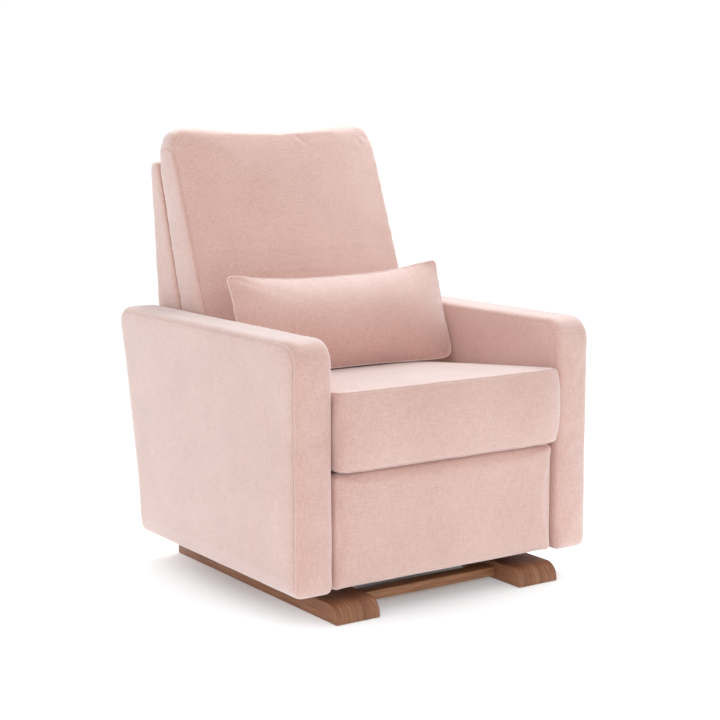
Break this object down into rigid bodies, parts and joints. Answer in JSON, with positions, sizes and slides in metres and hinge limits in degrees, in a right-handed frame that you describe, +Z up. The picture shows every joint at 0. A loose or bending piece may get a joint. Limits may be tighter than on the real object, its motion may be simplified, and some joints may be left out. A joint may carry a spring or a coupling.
{
  "type": "glider recliner chair",
  "caption": "Upholstered push-back glider recliner with padded track arms, seat and back cushions, a lumbar pillow, a fold-out footrest and flat wooden runners.",
  "frame": {"origin": "on the floor, under the middle of the chair's bounding box", "axes": "+Z up, the sitter faces -Y, +X is the sitter's left"},
  "size_m": [0.75, 0.82, 0.9757],
  "materials": {
    "blush_fabric": "matte",
    "walnut": "satin",
    "timber": "matte",
    "webbing": "matte",
    "black_steel": "satin",
    "spring_steel": "satin",
    "zinc_steel": "satin"
  },
  "bodies": {
    "base": {"left_runner": "walnut", "right_runner": "walnut", "front_crossbar": "walnut", "rear_crossbar": "walnut", "left_base_bracket": "black_steel", "right_base_bracket": "black_steel", "left_front_base_pin": "zinc_steel", "left_rear_base_pin": "zinc_steel", "right_front_base_pin": "zinc_steel", "right_rear_base_pin": "zinc_steel"},
    "front_links": {"left_front_glide_link": "zinc_steel", "right_front_glide_link": "zinc_steel"},
    "rear_links": {"left_rear_glide_link": "zinc_steel", "right_rear_glide_link": "zinc_steel"},
    "carriage": {"left_side_rail": "black_steel", "right_side_rail": "black_steel", "left_front_carriage_pin": "zinc_steel", "left_rear_carriage_pin": "zinc_steel", "right_front_carriage_pin": "zinc_steel", "right_rear_carriage_pin": "zinc_steel", "left_recline_pin": "zinc_steel", "right_recline_pin": "zinc_steel", "left_footrest_stud": "zinc_steel", "right_footrest_stud": "zinc_steel", "left_control_stud": "zinc_steel", "right_control_stud": "zinc_steel", "front_seat_rail": "timber", "rear_seat_rail": "timber", "seat_spring_1": "spring_steel", "seat_spring_2": "spring_steel", "seat_spring_3": "spring_steel", "seat_spring_4": "spring_steel", "seat_cushion": "blush_fabric", "left_arm_frame": "timber", "right_arm_frame": "timber", "left_arm": "blush_fabric", "right_arm": "blush_fabric", "rear_panel": "blush_fabric"},
    "backrest": {"left_back_post": "timber", "right_back_post": "timber", "lower_back_rail": "timber", "top_back_rail": "timber", "lower_back_strap": "webbing", "upper_back_strap": "webbing", "back_shell": "blush_fabric", "back_cushion": "blush_fabric"},
    "pillow": {"lumbar_pillow": "blush_fabric"},
    "footrest_arms": {"left_main_link": "zinc_steel", "right_main_link": "zinc_steel", "torque_tube": "black_steel"},
    "footrest_controls": {"left_control_link": "zinc_steel", "right_control_link": "zinc_steel"},
    "footrest_lifts": {"left_lift_link": "zinc_steel", "right_lift_link": "zinc_steel"},
    "footrest_ties": {"left_tie_link": "zinc_steel", "right_tie_link": "zinc_steel"},
    "footrest_panel": {"footrest_board": "timber", "footrest_pad": "blush_fabric", "left_panel_bracket": "black_steel", "right_panel_bracket": "black_steel"}
  },
  "joints": [
    {"name": "glide", "type": "hinge", "parent": "base", "child": "front_links", "pos_m": [0, -0.19, 0.225], "axis": [-1, 0, 0], "range_deg": [-20, 20]},
    {"name": "carriage_hang", "type": "hinge", "parent": "front_links", "child": "carriage", "pos_m": [0, -0.19, 0.085], "axis": [-1, 0, 0], "range_deg": [-20, 20]},
    {"name": "rear_glide", "type": "hinge", "parent": "base", "child": "rear_links", "pos_m": [0, 0.09, 0.225], "axis": [-1, 0, 0], "range_deg": [-20, 20]},
    {"name": "recline", "type": "hinge", "parent": "carriage", "child": "backrest", "pos_m": [0, 0.225, 0.36], "axis": [-1, 0, 0], "range_deg": [0, 30]},
    {"name": "pillow_lift", "type": "slide", "parent": "backrest", "child": "pillow", "axis": [0, 0.3649, 0.9311], "range_m": [0, 0.25]},
    {"name": "footrest_open", "type": "hinge", "parent": "carriage", "child": "footrest_arms", "pos_m": [0, -0.235, 0.246], "axis": [-1, 0, 0], "range_deg": [0, 90]},
    {"name": "footrest_control", "type": "hinge", "parent": "carriage", "child": "footrest_controls", "pos_m": [0, -0.26219, 0.25868], "axis": [-1, 0, 0], "range_deg": [0, 90]},
    {"name": "footrest_lift", "type": "hinge", "parent": "footrest_arms", "child": "footrest_lifts", "pos_m": [0, -0.1837, 0.10505], "axis": [-1, 0, 0], "range_deg": [-90, 0]},
    {"name": "footrest_tie", "type": "hinge", "parent": "footrest_arms", "child": "footrest_ties", "pos_m": [0, -0.18737, 0.06321], "axis": [-1, 0, 0], "range_deg": [-90, 0]},
    {"name": "footrest_swing", "type": "hinge", "parent": "footrest_lifts", "child": "footrest_panel", "pos_m": [0, -0.322, 0.27], "axis": [-1, 0, 0], "range_deg": [0, 90]}
  ],
  "couplings": [
    {"joint": "carriage_hang", "follows": "glide", "ratio": -1},
    {"joint": "rear_glide", "follows": "glide", "ratio": 1},
    {"joint": "footrest_open", "follows": "recline", "ratio": 3},
    {"joint": "footrest_control", "follows": "recline", "ratio": 3},
    {"joint": "footrest_lift", "follows": "recline", "ratio": -3},
    {"joint": "footrest_tie", "follows": "recline", "ratio": -3},
    {"joint": "footrest_swing", "follows": "recline", "ratio": 3}
  ]
}
